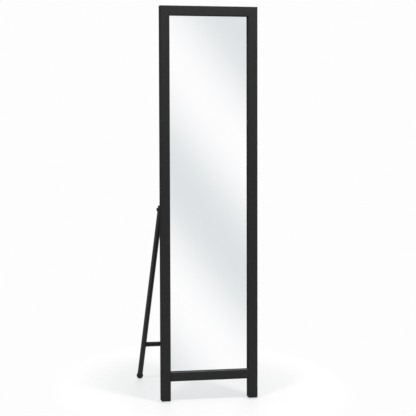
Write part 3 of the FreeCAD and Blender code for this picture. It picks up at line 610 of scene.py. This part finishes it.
def hinge_bolt():
    """Rings of radius and height from the socket's floor out over the head, in to the shank and down it. The
    socket's rings are hexagons, the dome is a quarter ellipse, and the thread is a cosine that climbs with
    the turn."""
    arc = np.linspace(0, np.pi / 2, 10)
    lip = KEY_WIDTH / 2 + KEY_LIP
    dome_radius = lip + (BOLT_HEAD - lip) * np.sin(arc)
    dome_height = BOLT_RIM + (BOLT_HEIGHT - BOLT_RIM) * np.cos(arc)
    key, key_floor = hexagon(KEY_WIDTH), BOLT_HEIGHT - KEY_DEPTH
    thread_height = np.linspace(THREAD_LENGTH, THREAD_RUNOUT, 94)[:, None] - BOLT_LENGTH
    wave = np.cos(2 * np.pi * thread_height / THREAD_PITCH - full_turn)
    thread_radius = BOLT_RADIUS - THREAD_DEPTH * (1 + wave)
    return ringed([
        (0, key_floor), (key, key_floor), (key, BOLT_HEIGHT - KEY_BREAK),
        *zip(dome_radius, dome_height),
        (BOLT_HEAD, BOLT_BREAK), (BOLT_HEAD - BOLT_BREAK, 0), (BOLT_RADIUS, 0),
        *zip(thread_radius, thread_height),
        (BOLT_RADIUS - BOLT_POINT, -BOLT_LENGTH), (0, -BOLT_LENGTH),
    ])


def outward(radius, height, side, seat):
    """Rings about the pivot on one side, their height running outwards from a seat off the frame's middle."""
    y, z = radius * np.cos(full_turn), radius * np.sin(full_turn)
    return leaned(side * (seat + height), PIVOT_Y + y, PIVOT_Z + z)


bolts = [outward(*hinge_bolt(), side, BOLT_SEAT) for _, side in SIDES]
new_piece("hinge_broad_bolts", bolts, [black_oxide], "frame", ["hinge_bolts"])

# The washers and lock nuts: a zinc-plated washer and an M6 lock nut hold each bolt to its ear. The nut's
# hexagon is chamfered by a cone at both ends and closed over a nylon ring.
WASHER_RADIUS, WASHER_THICK, WASHER_BREAK, HOLE = 6, 1.6, 0.2, 3.05
NUT_FACE = WASHER_FACE - WASHER_THICK
NUT_WIDTH, NUT_HEIGHT, CONE_START, CONE_RISE, CONE_HEIGHT = 10, 6, 4.8, 1.2, 0.7
COLLAR_RADIUS, COLLAR_HEIGHT = 4.4, 2
COLLAR_FLARE, FLARE_HEIGHT, COLLAR_TURN, TURN_HEIGHT = 0.2, 0.3, 0.9, 0.8

washer = ringed([
    (HOLE, 0), (WASHER_RADIUS - WASHER_BREAK, 0), (WASHER_RADIUS, WASHER_BREAK),
    (WASHER_RADIUS, WASHER_THICK - WASHER_BREAK), (WASHER_RADIUS - WASHER_BREAK, WASHER_THICK),
    (HOLE, WASHER_THICK), (HOLE, 0),
])
washers = [outward(*washer, side, NUT_FACE) for _, side in SIDES]
new_piece("hinge_plain_washers", washers, [zinc_plate], "frame", ["hinge_washers"])

cone = np.linspace(0, 1, 5)[:, None]
nut_radius = np.minimum(hexagon(NUT_WIDTH), CONE_START + CONE_RISE * cone)
nut_end = -NUT_HEIGHT - COLLAR_HEIGHT
nut = ringed([
    (HOLE, 0), (CONE_START, 0),
    *zip(nut_radius, -CONE_HEIGHT * cone),
    *zip(nut_radius[::-1], CONE_HEIGHT * cone[::-1] - NUT_HEIGHT),
    (COLLAR_RADIUS + COLLAR_FLARE, -NUT_HEIGHT), (COLLAR_RADIUS, -NUT_HEIGHT - FLARE_HEIGHT),
    (COLLAR_RADIUS, nut_end + TURN_HEIGHT), (COLLAR_RADIUS - COLLAR_TURN, nut_end),
    (HOLE, nut_end), (HOLE, 0),
])
nuts = [outward(*nut, side, NUT_FACE) for _, side in SIDES]
new_piece("hinge_lock_nuts", nuts, [zinc_plate], "frame", ["hinge_nuts"])

# The saddles: four black nylon washers, hollowed on one side to the curve of the leg, so that a round tube
# can turn between the flat ear and the bolt head. The solids serve as they are.

# Moulded nylon: black with a waxy sheen, a fine matte skin, and faint flow marks some 4 mm apart.
FLOW_MARK = 4
nylon, tree, shader, place = new_finish("Black nylon")
flow = add(
    tree, "ShaderNodeTexNoise",
    {"Vector": place, "Scale": METRE / FLOW_MARK, "Detail": 3, "Distortion": 1.5},
).outputs[0]
tone = add(
    tree, "ShaderNodeMix",
    {SHARE: flow, FIRST: linear("#19191a"), SECOND: linear("#29292a")}, data_type="RGBA",
)
gloss = add(tree, "ShaderNodeMapRange", {
    "Value": flow, "From Min": NOISE_LOW, "From Max": NOISE_HIGH, "To Min": 0.36, "To Max": 0.48,
})
connect(tree, shader, {"Base Color": tone.outputs[MIXED], "Roughness": gloss.outputs[0]})
for word, _ in SIDES:
    nodes[word + "_saddles"].material_slots[0].material = nylon

# The stand's legs: two 22 mm round tubes, splayed a little, drilled near the top for the hinge bolts and
# pushed into ball feet at the bottom. Their coat is finer than the frame's, so a pale line runs down them.
OPEN, SPLAY = np.radians(19), np.radians(3.6)
LEG_X, LEG_RADIUS, LEG_WALL, LEG_TOP, LEG_LENGTH, SOCKET_DEPTH = 193.9, 11, 1.2, 11.5, 763.6028, 4


def on_stand(x, y, z):
    """Millimetres in the stand's own axes, from the middle of the pivot line with z up the open stand, to
    metres in the scene: turned by the opening angle about the pivot, then as the frame is."""
    back = PIVOT_Y + y * np.cos(OPEN) - z * np.sin(OPEN)
    up = PIVOT_Z + y * np.sin(OPEN) + z * np.cos(OPEN)
    return leaned(x, back, up)


def on_leg(side, x, y, z):
    """Millimetres in a leg's own axes, z up the tube from the pivot, turned by the splay into the stand's."""
    across = x * np.cos(SPLAY) - side * z * np.sin(SPLAY)
    along = z * np.cos(SPLAY) + side * x * np.sin(SPLAY)
    return on_stand(side * LEG_X + across, y, along)


satin_coat = powder("Satin black powder coat", "#101011", "#131314", "#171718", 0.3, 0.36, 0.46)
circle = np.array((np.cos(full_turn), np.sin(full_turn)))
leg = hollow_bar(
    LEG_RADIUS * circle, (LEG_RADIUS - LEG_WALL) * circle,
    lambda u, v: -LEG_LENGTH - SOCKET_DEPTH,
    lambda u, v: LEG_TOP,
)
for word, side in SIDES:
    new_piece(word + "_leg_tube", [on_leg(side, *leg)], [satin_coat], "stand", [word + "_leg"])

# The leg plugs: moulded caps that close the tops of the legs. Their rounded heads lean on the backs of the
# posts and stop the stand when it is open. The solids serve as they are.
for word, _ in SIDES:
    nodes[word + "_leg_plug"].material_slots[0].material = black_plastic

# The crossbar: a 20 mm tube whose ends are coped to the legs' round and welded all the way about. The bead
# stays, rippled, under the coat.
BAR_RADIUS, BAR_WALL, BAR_Z, WELD_GAP = 10, 1.2, -614.596, 0.05
BAR_BEAD, BAR_RIPPLE = 1.6, 2.2


def coped_end(side, y, z):
    """How far out the bar reaches at y and z: to the leg's surface, a circle about the splayed axis."""
    across = np.sqrt((LEG_RADIUS + WELD_GAP) ** 2 - y ** 2)
    return side * (LEG_X - (across + (BAR_Z + z) * np.sin(SPLAY)) / np.cos(SPLAY))


y, z, x = hollow_bar(
    BAR_RADIUS * circle, (BAR_RADIUS - BAR_WALL) * circle,
    lambda y, z: coped_end(-1, y, z),
    lambda y, z: coped_end(1, y, z),
)
crossbar = on_stand(x, y, BAR_Z + z)
new_piece("crossbar_tube", [crossbar], [satin_coat], "stand", ["stand_crossbar"])

bar_turn = np.linspace(0, 2 * np.pi, 241)
away = np.stack((np.zeros_like(bar_turn), np.cos(bar_turn), np.sin(bar_turn)), -1)
_, y, z = BAR_RADIUS * away.T
beads = []
for _, side in SIDES:
    seam = np.stack((coped_end(side, y, z), y, BAR_Z + z), -1)
    bead = weld_bead(seam, away, np.broadcast_to(axis_x, away.shape), BAR_BEAD, BAR_RIPPLE, closed=True)
    beads.append(on_stand(*np.moveaxis(bead, -1, 0)))
new_piece("crossbar_welds", beads, [satin_coat], "stand", [])

# The ball feet: moulded rubber balls with a socket for the leg and a rounded rim. The two halves of the mould
# leave a fine line round the middle, and each ball stands on a small flat.
BALL_RADIUS, BALL_RIM, RIM_ROUND, SOCKET_RADIUS = 14, 6.5, 0.5, 11.1
MOULD_LINE, MOULD_LINE_HALF = 0.15, 0.35


def ball_foot():
    """Rings from the socket's floor up its wall, over a rounded rim and down the ball to its lowest point.
    The mould line adds a narrow bell-shaped ridge at the middle."""
    over = np.pi * np.linspace(0, 1, 7)
    shoulder = BALL_RIM - RIM_ROUND
    latitude = np.linspace(np.arcsin(shoulder / BALL_RADIUS), -np.pi / 2, 97)
    ball = BALL_RADIUS + MOULD_LINE * np.exp(-(BALL_RADIUS * latitude / MOULD_LINE_HALF) ** 2)
    rim_out = BALL_RADIUS * np.cos(latitude[0])
    middle, half = (SOCKET_RADIUS + rim_out) / 2, (rim_out - SOCKET_RADIUS) / 2
    rim_radius, rim_height = middle - half * np.cos(over), shoulder + RIM_ROUND * np.sin(over)
    radius = np.concatenate(([0, SOCKET_RADIUS], rim_radius, ball * np.cos(latitude)))
    height = np.concatenate(([-SOCKET_DEPTH, -SOCKET_DEPTH], rim_height, ball * np.sin(latitude)))
    radius[-1] = 0
    x, y = radius[:, None] * circle[:, None]
    return x, y, np.broadcast_to(height[:, None], x.shape)


x, y, z = ball_foot()
for word, side in SIDES:
    foot = on_leg(side, x, y, z - LEG_LENGTH)
    foot[..., 2] = np.maximum(foot[..., 2], 0)
    new_piece(word + "_ball_moulding", [foot], [rubber], "stand", [word + "_ball_foot"])

# The studio: a pale floor that runs into a pale surround, two lamps high in front to the left and the right,
# a softer one behind them and a broad weak one low in front. The surround hangs in soft slanting folds of
# white and cool grey, which only the mirror shows.
WHITE, FOLD_GREY, AMBIENT = "#fefdfe", "#dfe2e4", 0.25
FOLD_ACROSS, FOLD_UP, FOLD_START, FOLD_FADE = 50.54, 36.224, 7.284, -0.3
FLOOR_SHADE, FLOOR_GLOW, FLOOR_BOUNCE, BOUNCE_GLOW = "#9a9491", "#ccd0d2", "#ecebea", 0.8
FLOOR_RADIUS, FLOOR_NEAR, FLOOR_FAR, FLOOR_SHEEN = 2.2, 0.32, 0.64, 0.35
LAMPS = (
    ("overhead_left", (-0.95, -0.62, 3.0), 0.3, 26),
    ("overhead_right", (0.95, -0.62, 3.0), 0.3, 40),
    ("overhead_back", (0, 0.3, 3.1), 0.8, 16),
    ("front_fill", (-0.5, -4.0, 1.2), 1.6, 11),
)
LAMPS_AIM = Vector((0, 0, 0.7))

rings = np.array((0, 0.5, 1))[:, None] * FLOOR_RADIUS
disc = np.stack((*(rings * circle[:, None]), np.zeros((3, len(full_turn)))), -1)
mesh = bpy.data.meshes.new("studio_floor")
mesh.from_pydata(disc.reshape(-1, 3).tolist(), [], grid_faces(3, len(full_turn))[:, ::-1].tolist())
floor = bpy.data.objects.new("studio_floor", mesh)
bpy.context.scene.collection.objects.link(floor)

# White paper, matte: near the object it takes the lamps' light and shadows, and further out it glows as white
# as the surround, so that it has no edge. What it throws back on the object is a plain pale grey.
paper, tree, shader, place = new_finish("Matte white paper floor")
ray = add(tree, "ShaderNodeLightPath", {}).outputs
mirrored = add(
    tree, "ShaderNodeMath", {0: ray["Is Glossy Ray"], 1: ray["Is Transmission Ray"]}, operation="MAXIMUM",
)
seen = add(
    tree, "ShaderNodeMath", {0: ray["Is Camera Ray"], 1: mirrored.outputs[0]}, operation="MAXIMUM",
).outputs[0]
reach = add(tree, "ShaderNodeVectorMath", {0: place}, operation="LENGTH")
far = add(
    tree, "ShaderNodeMapRange",
    {"Value": reach.outputs["Value"], "From Min": FLOOR_NEAR, "From Max": FLOOR_FAR},
    interpolation_type="SMOOTHSTEP",
).outputs[0]
shade = add(
    tree, "ShaderNodeMix", {SHARE: far, FIRST: linear(FLOOR_SHADE), SECOND: (0, 0, 0, 1)}, data_type="RGBA",
)
base = add(
    tree, "ShaderNodeMix",
    {SHARE: seen, FIRST: linear(FLOOR_BOUNCE), SECOND: shade.outputs[MIXED]}, data_type="RGBA",
)
glow = add(
    tree, "ShaderNodeMix", {SHARE: far, FIRST: linear(FLOOR_GLOW), SECOND: linear(WHITE)}, data_type="RGBA",
)
sheen = add(tree, "ShaderNodeMapRange", {"Value": far, "To Min": FLOOR_SHEEN, "To Max": 0})
strength = add(tree, "ShaderNodeMapRange", {"Value": seen, "To Min": BOUNCE_GLOW, "To Max": 1})
connect(tree, shader, {
    "Base Color": base.outputs[MIXED], "Specular IOR Level": sheen.outputs[0], "Roughness": 0.5,
    "Emission Color": glow.outputs[MIXED], "Emission Strength": strength.outputs[0],
})
mesh.materials.append(paper)

world = bpy.data.worlds.new("studio")
bpy.context.scene.world = world
world.use_nodes = True
tree = world.node_tree
ray = add(tree, "ShaderNodeLightPath", {}).outputs
heading = add(tree, "ShaderNodeTexCoord", {}).outputs["Generated"]
slant = add(
    tree, "ShaderNodeVectorMath", {0: heading, 1: (FOLD_ACROSS, 0, FOLD_UP)}, operation="DOT_PRODUCT",
)
phase = add(tree, "ShaderNodeMath", {0: slant.outputs["Value"], 1: FOLD_START}, operation="SUBTRACT")
wave = add(tree, "ShaderNodeMath", {0: phase.outputs[0]}, operation="COSINE")
depth = add(tree, "ShaderNodeMapRange", {"Value": wave.outputs[0], "From Min": -1, "From Max": 1})
backward = add(tree, "ShaderNodeSeparateXYZ", {0: heading}).outputs["Y"]
front = add(tree, "ShaderNodeMapRange", {"Value": backward, "From Min": 0, "From Max": FOLD_FADE})
fold = add(tree, "ShaderNodeMath", {0: depth.outputs[0], 1: front.outputs[0]}, operation="MULTIPLY")
folds = add(
    tree, "ShaderNodeMix",
    {SHARE: fold.outputs[0], FIRST: linear(WHITE), SECOND: linear(FOLD_GREY)}, data_type="RGBA",
)
mirrored = add(
    tree, "ShaderNodeMath", {0: ray["Is Glossy Ray"], 1: ray["Is Transmission Ray"]}, operation="MAXIMUM",
)
direct = add(tree, "ShaderNodeMath", {0: ray["Diffuse Depth"], 1: 0.5}, operation="LESS_THAN")
in_mirror = add(tree, "ShaderNodeMath", {0: mirrored.outputs[0], 1: direct.outputs[0]}, operation="MULTIPLY")
plain = add(
    tree, "ShaderNodeMix",
    {SHARE: ray["Is Camera Ray"], FIRST: (AMBIENT, AMBIENT, AMBIENT, 1), SECOND: linear(WHITE)},
    data_type="RGBA",
)
shown = add(
    tree, "ShaderNodeMix",
    {SHARE: in_mirror.outputs[0], FIRST: plain.outputs[MIXED], SECOND: folds.outputs[MIXED]},
    data_type="RGBA",
)
connect(tree, tree.nodes["Background"], {"Color": shown.outputs[MIXED]})

for name, spot, size, power in LAMPS:
    lamp = bpy.data.lights.new(name, "AREA")
    lamp.size, lamp.energy = size, power
    light = bpy.data.objects.new(name, lamp)
    light.location = spot
    light.rotation_euler = (LAMPS_AIM - light.location).to_track_quat("-Z", "Y").to_euler()
    bpy.context.scene.collection.objects.link(light)

# The camera: at the photograph's distance and angle, a little left of the mirror and above it, with a long
# lens. It looks along the yaw, down by the pitch, and is rolled about that line.
YAW, PITCH, ROLL = np.radians((12.17947, 12.05808, 1.75676))
CAMERA_PLACE, CAMERA_LENS, SENSOR = (-1.12042, -5.196265, 1.90588), 115.4302, 36
ahead = np.array((np.sin(YAW) * np.cos(PITCH), np.cos(YAW) * np.cos(PITCH), -np.sin(PITCH)))
level = np.array((np.cos(YAW), -np.sin(YAW), 0))
above = np.cross(level, ahead)
camera_right = np.cos(ROLL) * level + np.sin(ROLL) * above
camera_up = np.cos(ROLL) * above - np.sin(ROLL) * level
columns = np.transpose((camera_right, camera_up, -ahead, CAMERA_PLACE))
camera = bpy.data.objects.new("camera", bpy.data.cameras.new("camera"))
camera.data.lens = CAMERA_LENS
camera.data.sensor_width = SENSOR
camera.matrix_world = Matrix([*columns.tolist(), [0, 0, 0, 1]])
bpy.context.scene.collection.objects.link(camera)
bpy.context.scene.camera = camera
bpy.context.scene.view_settings.view_transform = "Standard"
